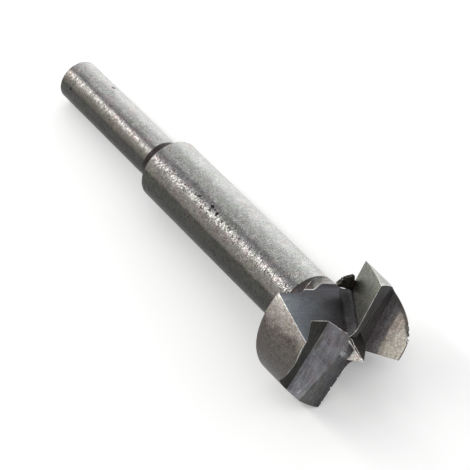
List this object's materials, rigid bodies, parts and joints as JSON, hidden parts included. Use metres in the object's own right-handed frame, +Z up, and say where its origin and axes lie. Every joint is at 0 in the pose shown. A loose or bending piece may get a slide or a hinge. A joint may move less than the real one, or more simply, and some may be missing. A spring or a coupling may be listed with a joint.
{
  "type": "forstner bit",
  "caption": "Woodboring bit with a low centre brad, two wide cutting wings with chip windows, and a stepped round shank; worn steel, lying at rest.",
  "frame": {"origin": "centre of the bounding box's bottom, on the surface the bit lies on", "axes": "+X runs along the bit toward its cutting head, +Z is up; the bit's own axis rises about 4 degrees toward the head"},
  "size_m": [0.09, 0.025, 0.0211],
  "materials": {
    "worn_steel": "worn ground steel, satin, with dark stained faces in the cutting head"
  },
  "bodies": {
    "root": {"forstner_bit": "worn_steel"}
  },
  "joints": []
}
